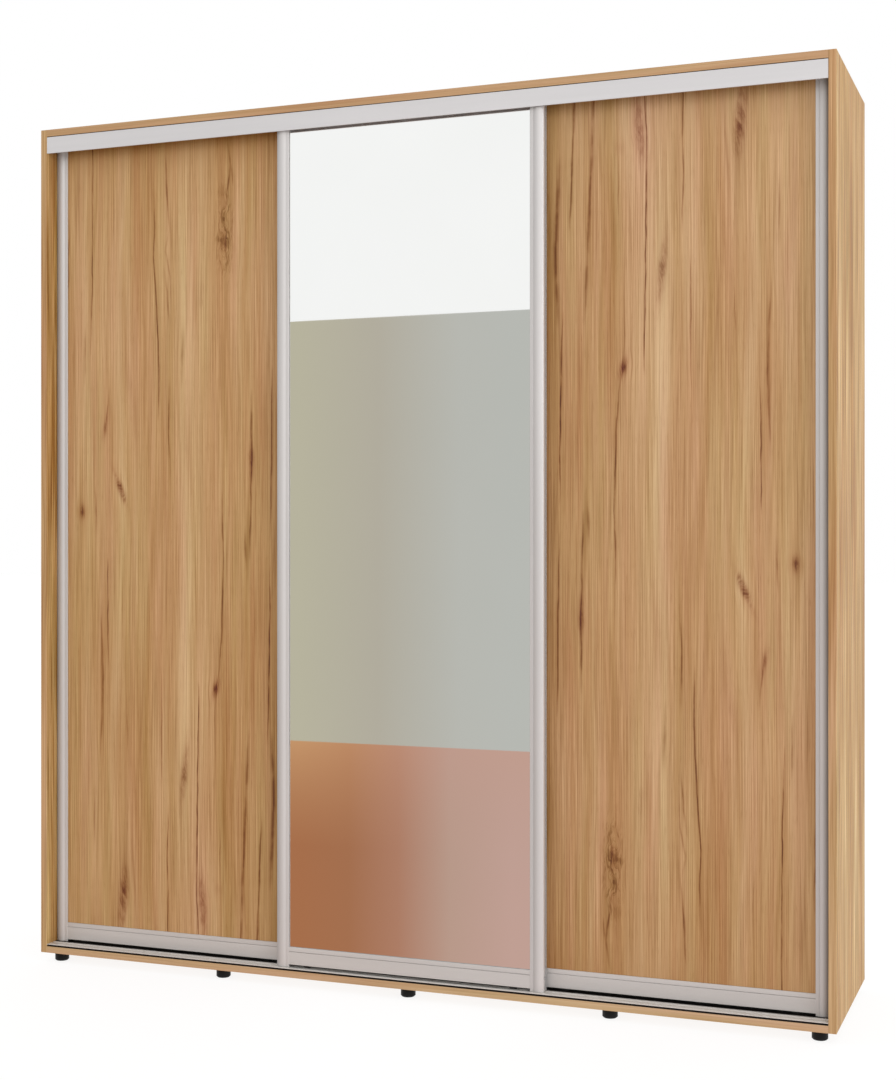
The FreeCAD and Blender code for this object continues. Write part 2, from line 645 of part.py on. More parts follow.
def door(name, dx, s_face):
    move = FreeCAD.Vector(dx, yy(s_face), 0)

    def put(node, *solids):
        out = []
        for s in solids:
            s = s.copy()
            s.translate(move)
            out.append(s)
        save("door_%s_%s" % (name, node), *out)

    right = stile()
    left = right.mirror(at(0, 0, 0), at(1, 0, 0))
    put("stile_right", right)
    put("stile_left", left)
    put("rail_bottom", low_rail())
    put("rail_top", top_rail())

    z0 = LOW_RAIL_Z0 + LOW_RAIL_H - SLOT_LOW + 0.5
    z1 = TOP_RAIL_Z0 + 12.0 - 0.5
    x1 = RX + PANEL_IN
    mid = PORT_V
    if name == "centre":
        ring = plain_box(-x1, x1, mid - 5.0, mid + 5.0, z0, z1)
        ring = ring.cut(
            plain_box(-RX + 0.8, RX - 0.8, mid - 6, mid + 6, z0 + SLOT_LOW + 0.3, z1 - 12.3)
        )
        # the glass sits near the front of its gasket
        g0 = mid - 5.0 + 0.8
        g1 = g0 + MIRROR_T
        mirror = plain_box(-x1 + 2.0, x1 - 2.0, g0, g1, z0 + 2.0, z1 - 2.0)
        ring = ring.cut(
            plain_box(-x1 + 1.95, x1 - 1.95, g0 - 0.05, g1 + 0.05, z0 + 1.95, z1 - 1.95)
        )
        put("panel", mirror)
        put("gasket", one(ring))
    else:
        put("panel", plain_box(-x1, x1, mid - PANEL_T / 2, mid + PANEL_T / 2, z0, z1))

    pile = plain_box(
        DOOR_HALF - 1.15, DOOR_HALF + 0.5, 18.1, 24.9, STILE_Z0 + 2.0, STILE_Z1 - 2.0
    )
    put("brush_seals", pile, pile.mirror(at(0, 0, 0), at(1, 0, 0)))

    put("roller_brackets", *(roller_bracket(-1) + roller_bracket(1)))
    put("wheel_left", wheel(-1))
    put("wheel_right", wheel(1))

    # the glides keep 0.6 mm from the walls of their own channel
    lo, hi = (2.4, MID0) if s_face < 30 else (MID1, BACK_W0)
    put(
        "guides",
        guide(-1, lo + 0.6 - s_face, hi - 0.6 - s_face),
        guide(1, lo + 0.6 - s_face, hi - 0.6 - s_face),
    )
    fixings = []
    for sign in (-1, 1):
        for z in (PORT_LOW, PORT_TOP):
            fixings.append(frame_screw(z, sign))
        fixings.append(short_screw(sign * (WHEEL_X - 22.0), WHEEL_V, BR_TOP - 1.8, 1))
        fixings.append(short_screw(sign * WHEEL_X, 14.0, TOP_RAIL_Z0 + TOP_RAIL_H + 4.6, -1))
    put("frame_screws", *fixings)


for name, dx, s_face in (
    ("left", -REAR_DOOR_X, S_REAR),
    ("centre", CENTRE_DOOR_X, S_FRONT),
    ("right", REAR_DOOR_X, S_REAR),
):
    door(name, dx, s_face)

for name, shape in boards.items():
    save(name, one(shape))
for name, shape in rails.items():
    save(name, shape)
save("cam_fittings", *cams)
save("shelf_pins", *pins)
save("rail_sockets", *sockets)
save("feet", *feet)
save("wood_screws", *screws)
save("back_nails", *nails)
save("bottom_track", bottom_track)
save("top_track", top_track)
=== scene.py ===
import math

import bpy
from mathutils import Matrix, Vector


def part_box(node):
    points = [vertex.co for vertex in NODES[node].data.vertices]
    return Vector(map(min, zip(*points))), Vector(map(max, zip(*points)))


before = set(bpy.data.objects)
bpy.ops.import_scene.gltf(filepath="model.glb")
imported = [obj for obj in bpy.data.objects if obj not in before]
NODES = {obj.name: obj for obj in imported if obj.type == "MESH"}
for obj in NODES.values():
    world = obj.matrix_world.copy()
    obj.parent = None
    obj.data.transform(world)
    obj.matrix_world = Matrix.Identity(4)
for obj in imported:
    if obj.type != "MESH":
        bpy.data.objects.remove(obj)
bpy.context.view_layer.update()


# ---------------------------------------------------------------------------
# A small helper that writes shader nodes as expressions
# ---------------------------------------------------------------------------
class Graph:
    def __init__(self, name):
        self.mat = bpy.data.materials.new(name)
        self.mat.use_nodes = True
        self.tree = self.mat.node_tree
        self.tree.nodes.clear()
        self.out = self.tree.nodes.new("ShaderNodeOutputMaterial")
        self.bsdf = self.tree.nodes.new("ShaderNodeBsdfPrincipled")
        self.link(self.bsdf.outputs[0], self.out.inputs[0])
        self.coord = self.tree.nodes.new("ShaderNodeTexCoord").outputs["Object"]

    def link(self, a, b):
        self.tree.links.new(a, b)

    def put(self, value, socket):
        if isinstance(value, (int, float)):
            socket.default_value = value
        elif isinstance(value, (tuple, list)):
            v = list(value)
            if len(socket.default_value) == 4 and len(v) == 3:
                v.append(1.0)
            socket.default_value = v
        else:
            self.link(value, socket)

    def m(self, op, *args, clamp=False):
        n = self.tree.nodes.new("ShaderNodeMath")
        n.operation = op
        n.use_clamp = clamp
        for a, s in zip(args, n.inputs):
            self.put(a, s)
        return n.outputs[0]

    def add(self, *a):
        out = a[0]
        for b in a[1:]:
            out = self.m("ADD", out, b)
        return out

    def mul(self, *a):
        out = a[0]
        for b in a[1:]:
            out = self.m("MULTIPLY", out, b)
        return out

    def sub(self, a, b):
        return self.m("SUBTRACT", a, b)

    def mad(self, a, b, c):
        return self.m("MULTIPLY_ADD", a, b, c)

    def split(self, v):
        n = self.tree.nodes.new("ShaderNodeSeparateXYZ")
        self.put(v, n.inputs[0])
        return n.outputs

    def vec(self, x, y, z):
        n = self.tree.nodes.new("ShaderNodeCombineXYZ")
        for a, s in zip((x, y, z), n.inputs):
            self.put(a, s)
        return n.outputs[0]

    def noise(self, v, scale=1.0, detail=2.0, rough=0.5, distortion=0.0):
        n = self.tree.nodes.new("ShaderNodeTexNoise")
        n.noise_dimensions = "3D"
        self.put(v, n.inputs["Vector"])
        n.inputs["Scale"].default_value = scale
        n.inputs["Detail"].default_value = detail
        n.inputs["Roughness"].default_value = rough
        n.inputs["Distortion"].default_value = distortion
        return n.outputs["Fac"]

    def white(self, w):
        n = self.tree.nodes.new("ShaderNodeTexWhiteNoise")
        n.noise_dimensions = "1D"
        self.put(w, n.inputs["W"])
        return n.outputs["Value"]

    def remap(self, v, a, b, c=0.0, d=1.0, kind="LINEAR"):
        n = self.tree.nodes.new("ShaderNodeMapRange")
        n.interpolation_type = kind
        for x, s in zip((v, a, b, c, d), n.inputs):
            self.put(x, s)
        return n.outputs[0]

    def ramp(self, v, stops, kind="LINEAR"):
        n = self.tree.nodes.new("ShaderNodeValToRGB")
        n.color_ramp.interpolation = kind
        e = n.color_ramp.elements
        while len(e) > 1:
            e.remove(e[-1])
        e[0].position, e[0].color = stops[0][0], self.rgba(stops[0][1])
        for p, c in stops[1:]:
            x = e.new(p)
            x.color = self.rgba(c)
        self.put(v, n.inputs[0])
        return n.outputs[0]

    @staticmethod
    def rgba(c):
        if isinstance(c, (int, float)):
            return (c, c, c, 1.0)
        return tuple(c) + (1.0,)

    def mix(self, f, a, b, kind="MIX"):
        n = self.tree.nodes.new("ShaderNodeMix")
        n.data_type = "RGBA"
        n.blend_type = kind
        n.clamp_factor = True
        self.put(f, n.inputs[0])
        self.put(a, n.inputs[6])
        self.put(b, n.inputs[7])
        return n.outputs[2]

    def curve(self, v, points):
        """A curve through (position, value) points, both 0 to 1, straight between them."""
        n = self.tree.nodes.new("ShaderNodeFloatCurve")
        c = n.mapping.curves[0]
        while len(c.points) > 2:
            c.points.remove(c.points[1])
        c.points[0].location = points[0]
        c.points[1].location = points[-1]
        for p in points[1:-1]:
            c.points.new(*p)
        for p in c.points:
            p.handle_type = "VECTOR"
        n.mapping.update()
        self.put(v, n.inputs["Value"])
        return n.outputs[0]

    def bump(self, height, strength, distance):
        n = self.tree.nodes.new("ShaderNodeBump")
        n.inputs["Strength"].default_value = strength
        n.inputs["Distance"].default_value = distance
        self.put(height, n.inputs["Height"])
        return n.outputs[0]

    def set(self, **values):
        for key, v in values.items():
            self.put(v, self.bsdf.inputs[key.replace("_", " ")])
        return self.mat


def srgb(r, g, b):
    def f(c):
        c /= 255.0
        return c / 12.92 if c <= 0.04045 else ((c + 0.055) / 1.055) ** 2.4

    return (f(r), f(g), f(b))


# ---------------------------------------------------------------------------
# Oak decor.  Everything is worked out in decor space: u across the grain and
# v along it, both in millimetres.  Tones are added up in display levels (255
# is white) and turned to linear colour at the end.
# ---------------------------------------------------------------------------
# (points (u, v), half width, depth in levels): thin dark cracks and seams
CRACKS = [
    ([(81, 0), (80, 190), (79, 350), (74, 560)], 1.6, 50),
    ([(58, 480), (54, 640)], 2.4, 24),
    ([(301, 20), (308, 130), (316, 250)], 2.8, 36),
    ([(316, 225), (303, 290), (318, 360), (322, 460)], 3.0, 24),
    ([(272, 120), (268, 310), (275, 417), (282, 528), (283, 760)], 2.2, 46),
    ([(298, 330), (308, 400), (317, 500)], 3.2, 24),
    ([(489, 10), (497, 80), (486, 150), (482, 230)], 3.6, 34),
    ([(497, 60), (504, 140)], 3.0, 26),
    ([(474, 205), (484, 250), (480, 300), (493, 345)], 3.2, 30),
    ([(558, 660), (558, 860), (556, 990), (553, 1110)], 2.6, 48),
    ([(618, 560), (616, 850), (611, 1060)], 2.2, 34),
    ([(128, 1040), (127, 1250), (129, 1400)], 1.5, 58),
    ([(470, 910), (477, 1100), (472, 1250), (466, 1380), (457, 1438)], 2.0, 40),
    ([(538, 1010), (541, 1140)], 4.5, 22),
    ([(611, 1110), (609, 1400), (603, 1590)], 2.0, 52),
    ([(291, 1380), (292, 1480), (293, 1720)], 1.3, 40),
    ([(313, 1740), (310, 1900), (311, 2087)], 1.7, 46),
    ([(404, 1420), (400, 1650), (397, 2000), (402, 2087)], 1.9, 58),
    ([(183, 1450), (192, 1650)], 1.5, 24),
    ([(588, 1740), (580, 1950), (574, 2087)], 2.8, 46),
    ([(550, 1540), (536, 1850), (527, 2087)], 4.6, 32),
    ([(617, 1540), (622, 1740), (612, 1960)], 5.5, 36),
    ([(6, 150), (3, 440)], 2.2, 30),
    ([(467, 1780), (465, 1950)], 1.5, 20),
    ([(134, 640), (124, 720), (118, 800)], 2.6, 24),
    ([(356, 480), (352, 660)], 3.4, 18),
    ([(316, 620), (314, 760), (318, 920)], 3.0, 26),
    ([(105, 1200), (112, 1420), (104, 1640)], 3.4, 24),
    ([(88, 900), (92, 1060)], 3.6, 20),
    ([(88, 1700), (84, 1900)], 2.8, 18),
]
# (u, v, half width, half length, lean, depth): knots
KNOTS = [
    (120, 752, 4.0, 18, -0.20, 44),
    (155, 892, 3.4, 20, 0.42, 36),
    (168, 922, 4.8, 16, 0.34, 78),
    (47, 977, 4.2, 11, 0.05, 64),
    (557, 852, 5.0, 24, 0.0, 54),
    (454, 1442, 4.6, 12, -0.25, 70),
    (360, 1668, 5.5, 38, -0.10, 60),
    (175, 2004, 7.5, 50, -0.08, 64),
    (415, 2008, 6.5, 42, 0.05, 60),
    (460, 1962, 7.0, 9, 0.0, 24),
    (410, 412, 6.0, 26, -0.1, 28),
    (312, 706, 4.0, 34, 0.0, 22),
    (70, 1650, 8.0, 50, 0.0, 20),
    (196, 640, 6.0, 36, 0.12, 24),
    (140, 1130, 5.0, 30, 0.0, 24),
    (476, 1270, 5.0, 22, -0.1, 24),
]
LONG = 2087.0
# a curly burr: (u, v, half width, half length)
BURR = (479, 258, 21, 104)
# plank tones across the board: (u, levels)
PLANKS = [
    (0, -3), (24, 2), (50, 6), (76, 0), (100, 2), (128, 0), (172, 4), (205, 0), (226, -6),
    (262, -3), (300, 1), (326, -1), (350, 8), (378, 9), (404, 6), (436, 2), (462, -3),
    (476, -7), (502, 0), (530, 1), (548, -8), (604, -7), (628, -10), (650, -14),
]


UNDER_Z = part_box("top_track")[0][2] + 0.008   # how far up a door is seen below the fascia
FRONT = -0.2523        # what lies in front of this is the front edge of a board


def oak(name, plane, features=False, seed=0.0, lift=(0.0, 0.0, 0.0), bold=1.0, painted_light_rise=0.0, edge=(0.0, 0.0, 0.0), shade=None, under=None):
    """plane(g, x, y, z) gives u and v in millimetres from object coordinates.
    rise, the drift in levels for each metre of height, is painted light, lighter towards the top; edge is the
    tone of the banding on the front edges.  Above z = shade and behind the front edge, the board is painted
    near black: painted shade in the gap below the track's lip."""
    g = Graph(name)
    x, y, z = g.split(g.coord)
    u, v = plane(g, x, y, z)

    # slow wander of the grain
    slow = g.noise(g.vec(g.mul(u, 0.0060), g.mul(v, 0.0016), 3.1 + seed), detail=1.5)
    quick = g.noise(g.vec(g.mul(u, 0.030), g.mul(v, 0.0080), 7.7 + seed), detail=2.0)
    w = g.add(u, g.mad(slow, 40.0, -20.0), g.mad(quick, 5.0, -2.5))

    # the grain parts round each knot
    if features:
        for ku, kv, a, b, lean, power in KNOTS:
            kb, ka = 1.0 / (b * 2.4), 1.0 / (a * 4.2)
            dv = g.mad(v, kb, -kv * kb)
            du = g.sub(g.mad(u, ka, -ku * ka), g.mul(dv, lean * ka / kb))
            far = g.m("EXPONENT", g.mul(g.add(g.mul(du, du), g.mul(dv, dv)), -1.0))
            w = g.sub(w, g.mul(du, far, 0.011 * power / ka))
        bu, bv, ba, bb = BURR
        du, dv = g.mad(u, 1.0 / ba, -bu / ba), g.mad(v, 1.0 / bb, -bv / bb)
        burr = g.m("EXPONENT", g.mul(g.add(g.mul(du, du), g.mul(dv, dv)), -1.0))
        curl = g.noise(g.vec(g.mul(u, 0.045), g.mul(v, 0.018), 1.3), detail=2.0)
        w = g.add(w, g.mul(burr, g.mad(curl, 70.0, -35.0)))

    # streaks from broad to fine
    band = g.noise(g.vec(g.mul(w, 0.0150), g.mul(v, 0.00095), 11.0 + seed), detail=1.0)
    streak = g.noise(g.vec(g.mul(w, 0.040), g.mul(v, 0.0016), 23.0 + seed), detail=1.0, rough=0.65)
    line = g.noise(g.vec(g.mul(w, 0.125), g.mul(v, 0.0024), 31.0 + seed), detail=1.0, rough=0.7)
    fibre = g.noise(g.vec(g.mul(u, 0.47), g.mul(v, 0.0030), 41.0 + seed), detail=1.0, rough=0.8)
    pore = g.noise(g.vec(g.mul(w, 0.95), g.mul(v, 0.024), 57.0 + seed), detail=1.0)

    wide = g.add(g.mad(band, 34.0 * bold, -17.0 * bold), g.mad(streak, 30.0 * bold, -15.0 * bold))
    # painted light: the board is drawn lighter above 1.14 m and darker below it
    if painted_light_rise:
        wide = g.add(wide, g.mad(z, painted_light_rise, -1.14 * painted_light_rise))
    if under is not None:
        # the contact shade just below the fascia
        for reach, levels in under:
            fall = g.m("MINIMUM", g.m("EXPONENT", g.mad(z, 1.0 / reach, -UNDER_Z / reach)), 1.0)
            wide = g.mad(fall, -levels, wide)
    if features:
        t = g.mul(g.add(u, g.mad(slow, 40.0, -20.0)), 1.0 / 650.0)
        wide = g.add(wide, g.mad(g.curve(t, [(p / 650.0, (q + 25.0) / 50.0) for p, q in PLANKS]), 50.0, -25.0))
    thin = g.add(g.mad(line, 20.0 * bold, -10.0 * bold), g.mad(fibre, 80.0 * bold, -40.0 * bold))
    # late wood: the low side of the mid lines is drawn out into darker veins
    vein = g.m("POWER", g.remap(line, 0.44, 0.18), 1.6)
    pores = g.remap(pore, 0.60, 0.74)
    thin = g.sub(thin, g.add(g.mul(vein, 16.0 * bold), g.mul(pores, 14.0)))
    height = g.add(g.mul(fibre, 0.9), g.mul(pores, -0.6), g.mul(vein, -0.4))

    if features:
        wobble = g.noise(g.vec(g.mul(u, 0.04), g.mul(v, 0.011), 91.0), detail=2.0, rough=0.45)
        cu = g.add(u, g.mad(wobble, 7.0, -3.5))
        t = g.mul(v, 1.0 / LONG)
        crack = 0.0
        for points, half, depth in CRACKS:
            lo, hi = points[0][1] / LONG, points[-1][1] / LONG
            path = [(p[1] / LONG, p[0] / 650.0) for p in points]
            if lo > 0.0:
                path = [(0.0, path[0][1])] + path
            if hi < 1.0:
                path = path + [(1.0, path[-1][1])]
            fade = min(0.045, (hi - lo) * 0.40)
            show = [(lo + fade, 0.8), ((lo + hi) / 2, 1.0), (hi - fade, 0.8)]
            show = ([(0.0, 0.0), (lo, 0.0)] if lo > 0.0 else [(0.0, 0.8)]) + show
            show = show + ([(hi, 0.0), (1.0, 0.0)] if hi < 1.0 else [(1.0, 0.8)])
            off = g.mul(g.mad(g.curve(t, path), -650.0, cu), 1.0 / half)
            fall = g.m("DIVIDE", 1.0, g.mad(off, off, 1.0))
            here = g.mul(g.curve(t, show), g.mul(fall, fall), 1.62 * depth)
            crack = here if isinstance(crack, float) else g.m("MAXIMUM", crack, here)
        gaps = g.noise(g.vec(g.mul(u, 0.03), g.mul(v, 0.018), 97.0), detail=3.0)
        crack = g.mul(crack, g.remap(gaps, 0.30, 0.60, 0.45, 1.15))
        thin = g.sub(thin, crack)
        height = g.add(height, g.mul(crack, -0.022))
        # knots: a stained surround and a ragged dark eye, drawn out by the grain
        stain = 0.0
        for ku, kv, a, b, lean, power in KNOTS:
            kb, ka = 1.0 / (b * 2.3), 1.0 / (a * 2.3)
            dv = g.mad(v, kb, -kv * kb)
            du = g.sub(g.mad(cu, ka, -ku * ka), g.mul(dv, lean * ka / kb))
            here = g.mul(g.m("EXPONENT", g.mul(g.mad(du, du, g.mul(dv, dv)), -1.0)), float(power))
            stain = here if isinstance(stain, float) else g.m("MAXIMUM", stain, here)
        ragged = g.noise(g.vec(g.mul(w, 0.24), g.mul(v, 0.026), 101.0), detail=3.0, rough=0.65)
        eye = g.mul(stain, g.remap(stain, 12.0, 60.0, 0.0, 0.75), g.remap(ragged, 0.30, 0.60, 1.45, 0.25))
        thin = g.sub(thin, g.add(g.mul(stain, 0.22), eye))
        rust = g.mul(g.add(g.mul(stain, 0.5), eye, g.mul(crack, 0.7)), 0.12)
        # the burr: curly dark flecks
        fleck = g.noise(g.vec(g.mul(w, 0.13), g.mul(v, 0.020), 111.0), detail=3.0, rough=0.65, distortion=0.5)
        fleck = g.mul(g.remap(fleck, 0.47, 0.64), g.remap(burr, 0.06, 0.50))
        thin = g.sub(thin, g.add(g.mul(burr, 9.0), g.mul(fleck, 40.0)))

    pink = g.noise(g.vec(g.mul(w, 0.026), g.mul(v, 0.0013), 71.0 + seed), detail=1.0)
    pink = g.mad(pink, 17.0, -8.9)
    if features:
        pink = g.add(pink, rust)
    both = g.m("MAXIMUM", g.mul(thin, 1.0 / 255.0), -0.40)
    red, green, blue = 0.700 + lift[0], 0.5385 + lift[1], 0.367 + lift[2]
    if any(edge):
        front = g.m("LESS_THAN", y, FRONT)
        # the banding is plainer than the faces
        both = g.mul(both, g.mad(front, -0.62, 1.0))
        wide = g.mul(wide, g.mad(front, -0.50, 1.0))
        red, green, blue = (g.mad(front, e / 255.0, c) for c, e in zip((red, green, blue), edge))
    colour = g.vec(
        g.add(g.mad(wide, 0.80 / 255.0, red), g.mad(pink, 0.45 / 255.0, both)),
        g.add(g.mad(wide, 1.03 / 255.0, green), g.mad(pink, -0.55 / 255.0, both)),
        g.m("MAXIMUM", g.add(g.mad(wide, 1.20 / 255.0, blue), g.mad(pink, 0.35 / 255.0, both)), 0.035),
    )
    n = g.tree.nodes.new("ShaderNodeGamma")
    g.put(colour, n.inputs[0])
    n.inputs[1].default_value = 2.2
    colour = n.outputs[0]
    if shade is not None:
        # painted shade: where the board runs into the gap below the track's lip it is painted near black
        gap = g.mul(g.m("GREATER_THAN", z, shade), g.m("LESS_THAN", y, -0.2470))
        colour = g.mix(gap, colour, (*srgb(20, 11, 6), 1.0))

    rough = g.remap(line, 0.3, 0.7, 0.50, 0.60)
    g.set(Base_Color=colour, Roughness=rough, Normal=g.bump(height, 0.25, 0.0003))
    g.bsdf.inputs["Specular IOR Level"].default_value = 0.35
    return g.mat


def plane_door_left(g, x, y, z):
    return g.mad(x, 1000.0, 1000.0), g.mad(z, -1000.0, 2185.0)


def plane_door_right(g, x, y, z):
    return g.mad(x, -1000.0, 1000.0), g.mad(z, 1000.0, -98.0)


def plane_upright(g, x, y, z):
    """Boards that stand across the body: grain up, depth across."""
    return g.mul(g.add(x, y), 1000.0), g.mul(z, 1000.0)


def plane_level(g, x, y, z):
    """Boards that lie: grain along X."""
    return g.add(g.mul(y, 1000.0), g.mul(z, 1730.0)), g.mul(x, 1000.0)


OAK_LEFT = oak("oak_door_left", plane_door_left, features=True, lift=(-0.023, -0.022, -0.026), painted_light_rise=1.5, under=[(0.014, 20.0), (0.065, 11.0)])
OAK_RIGHT = oak("oak_door_right", plane_door_right, features=True, lift=(-0.026, -0.024, -0.018), painted_light_rise=7.0, under=[(0.014, 17.0)])
OAK_UP = oak("oak_upright", plane_upright, seed=5.0, lift=(-0.006, -0.008, -0.052), bold=2.7, edge=(-10, -9, 4))
OAK_FLAT = oak("oak_level", plane_level, seed=9.0, lift=(0.020, 0.030, 0.030), bold=1.3)
OAK_TOP = oak("oak_top", plane_level, seed=9.0, lift=(0.020, 0.030, 0.030), bold=1.6, edge=(-12, -12, -6))
OAK_BASE = oak(
    "oak_base", plane_level, seed=14.0, lift=(0.020, 0.030, 0.030), bold=1.6, edge=(-6, -2, 5), shade=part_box("base_panel")[1][2] - 0.0009
)


# ---------------------------------------------------------------------------
# Metals, glass, plastics
# ---------------------------------------------------------------------------
def edge_of(g, radius):
    """About 1 along the sharp edges of a piece and 0 on its flats."""
    bevel = g.tree.nodes.new("ShaderNodeBevel")
    bevel.samples = 4
    bevel.inputs["Radius"].default_value = radius
    flat = g.tree.nodes.new("ShaderNodeNewGeometry").outputs["Normal"]
    dot = g.tree.nodes.new("ShaderNodeVectorMath")
    dot.operation = "DOT_PRODUCT"
    g.link(bevel.outputs[0], dot.inputs[0])
    g.link(flat, dot.inputs[1])
    return g.remap(dot.outputs["Value"], 0.995, 0.90)


def metal(name, colour, rough, along="z", streak=0.05, tint=0.03, metallic=1.0, dark=None, wear=0.10, lean=0.0):
    """Drawn or plated metal.  dark(g, x, y, z) is 1 where shade is painted into the
    colour: the gaps, recesses and corner that light barely reaches."""
    g = Graph(name)
    x, y, z = g.split(g.coord)
    a, b = (x, z) if along == "z" else (z, x)
    fine = g.noise(g.vec(g.mul(a, 2600.0), g.mul(y, 2600.0), g.mul(b, 9.0)), detail=3.0)
    slow = g.noise(g.vec(g.mul(a, 30.0), g.mul(y, 30.0), g.mul(b, 1.4)), detail=2.0)
    specks = g.noise(g.vec(g.mul(x, 900.0), g.mul(y, 900.0), g.mul(z, 900.0)), detail=1.0)
    lo = tuple(c * (1.0 - tint) for c in colour)
    hi = tuple(min(1.0, c * (1.0 + tint)) for c in colour)
    shade = g.mix(g.remap(slow, 0.35, 0.65), (*lo, 1.0), (*hi, 1.0))
    shade = g.mix(g.mul(g.remap(specks, 0.68, 0.80), 0.20), shade, (*[c * 0.82 for c in colour], 1.0))
    worn = g.mul(edge_of(g, 0.0006), g.remap(slow, 0.42, 0.62), wear)
    shade = g.mix(worn, shade, (*[min(1.0, c * 1.35) for c in colour], 1.0))
    if lean:
        # painted light: faces turned towards -X are painted darker and faces turned towards +X lighter, as if
        # lit from the right
        face = g.split(g.tree.nodes.new("ShaderNodeNewGeometry").outputs["Normal"])
        tone = g.m("MAXIMUM", g.m("MINIMUM", g.mad(face[0], lean, 1.0), 1.0 + lean * 0.32), 1.0 - lean * 0.7)
        shade = g.mix(1.0, shade, g.vec(tone, tone, tone), "MULTIPLY")
    # painted shade: where the mask is 1 the colour is replaced by the given near-black tone
    if dark is not None:
        mask, black = dark(g, x, y, z)
        shade = g.mix(mask, shade, (*black, 1.0))
    g.set(
        Base_Color=shade,
        Roughness=g.add(g.remap(fine, 0.3, 0.7, rough - streak, rough + streak), g.mul(slow, 0.04)),
        Normal=g.bump(fine, 0.10, 0.00008),
    )
    g.bsdf.inputs["Metallic"].default_value = metallic
    return g.mat


def painted_lip_shade(g, x, y, z):
    """Painted shade: the gap below the front lip of the bottom track, and the track from CHANNEL_Y backwards,
    are painted near black.
    """
    low = g.m("LESS_THAN", z, LIP_Z)
    near = g.m("LESS_THAN", y, -0.2470)
    channel = g.m("GREATER_THAN", y, CHANNEL_Y)
    return g.m("MAXIMUM", g.mul(low, near), channel), srgb(18, 12, 9)


def painted_rail_shade(y0, more):
    """Painted shade: the inside of a lower rail, and the foot of its front wall, are painted near black."""

    def mask(g, x, y, z):
        low = g.m("LESS_THAN", z, BAY_Z)
        deep = g.m("GREATER_THAN", y, y0 + 0.0034)
        foot = g.m("LESS_THAN", z, FOOT_Z + more)
        return g.m("MAXIMUM", g.mul(low, deep), foot), srgb(22, 19, 18)

    return mask


def painted_corner_shade(g, x, y, z):
    """Painted shade: the outer end of the end stile is painted darker where it runs beside the carcass, as if
    shaded by it.
    """
    return g.remap(x, END_X - 0.019, END_X - 0.004, 0.0, 0.88), srgb(96, 90, 88)


def painted_fascia_gap_shade(g, x, y, z):
    """Painted shade: the recess between the fascia and the top board, and its lower lip, are painted near
    black.
    """
    high = g.m("GREATER_THAN", z, RECESS_Z)
    near = g.m("LESS_THAN", y, -0.2480)
    return g.mul(high, near), srgb(44, 27, 17)


LIP_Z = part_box("bottom_track")[1][2] - 0.0012
CHANNEL_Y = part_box("door_right_rail_bottom")[0][1] - 0.0095
BAY_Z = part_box("door_right_rail_bottom")[0][2] + 0.0245
FOOT_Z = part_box("door_right_rail_bottom")[0][2] + 0.0002
END_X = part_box("door_right_stile_right")[1][0]
RECESS_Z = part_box("top_track")[1][2] - 0.0019
SATIN = dict(metallic=0.35, streak=0.05)
# the upright stiles take lean: painted light, darker on faces turned to -X and lighter on faces turned to +X
ALU_UP = metal("anodised_upright", srgb(195, 192, 191), 0.44, lean=0.42, **SATIN)
ALU_FLAT = metal("anodised_level", srgb(199, 196, 194), 0.46, along="x", **SATIN)
ALU_END_SHADED = metal("anodised_end_shaded", srgb(195, 192, 191), 0.44, dark=painted_corner_shade, **SATIN)
RAIL_FRONT = metal(
    "anodised_rail_front", srgb(199, 196, 194), 0.46, along="x", dark=painted_rail_shade(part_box("door_centre_rail_bottom")[0][1], 0.0010), **SATIN
)
RAIL_REAR = metal(
    "anodised_rail_rear", srgb(199, 196, 194), 0.46, along="x", dark=painted_rail_shade(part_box("door_right_rail_bottom")[0][1], 0.0), **SATIN
)
ALU_LOW = metal("anodised_bottom_track", srgb(211, 206, 201), 0.46, along="x", dark=painted_lip_shade, **SATIN)
ALU_TOP = metal("anodised_top_track", srgb(200, 198, 199), 0.46, along="x", dark=painted_fascia_gap_shade, **SATIN)
CHROME = metal("chrome", srgb(225, 226, 230), 0.10, along="x", streak=0.03)
ZINC = metal("zinc", srgb(190, 192, 196), 0.34, streak=0.08, tint=0.10)


def mirror_glass():
    g = Graph("mirror_glass")
    haze = g.noise(g.vec(*[g.mul(c, 3.0) for c in g.split(g.coord)]), detail=3.0)
    g.set(
        Base_Color=g.mix(haze, (0.875, 0.885, 0.87, 1.0), (0.915, 0.92, 0.91, 1.0)),
        Roughness=g.remap(haze, 0.3, 0.7, 0.006, 0.014),
    )
    g.bsdf.inputs["Metallic"].default_value = 1.0
    return g.mat


def plastic(name, colour, rough, grain=700.0, depth=0.0001, vary=0.15):
    g = Graph(name)
    p = g.split(g.coord)
    grit = g.noise(g.vec(*[g.mul(c, grain) for c in p]), detail=2.0)
    cloud = g.noise(g.vec(*[g.mul(c, 22.0) for c in p]), detail=2.0)
    lo = tuple(c * (1.0 - vary) for c in colour)
    hi = tuple(min(1.0, c * (1.0 + vary)) for c in colour)
    shade = g.mix(g.remap(cloud, 0.3, 0.7), (*lo, 1.0), (*hi, 1.0))
    rubbed = g.mul(edge_of(g, 0.0006), g.remap(cloud, 0.40, 0.60), 0.25)
    g.set(
        Base_Color=g.mix(rubbed, shade, (*[min(1.0, c * 1.3 + 0.01) for c in colour], 1.0)),
        Roughness=g.remap(grit, 0.3, 0.7, rough - 0.08, rough + 0.08),
        Normal=g.bump(grit, 0.2, depth),
    )
    return g.mat


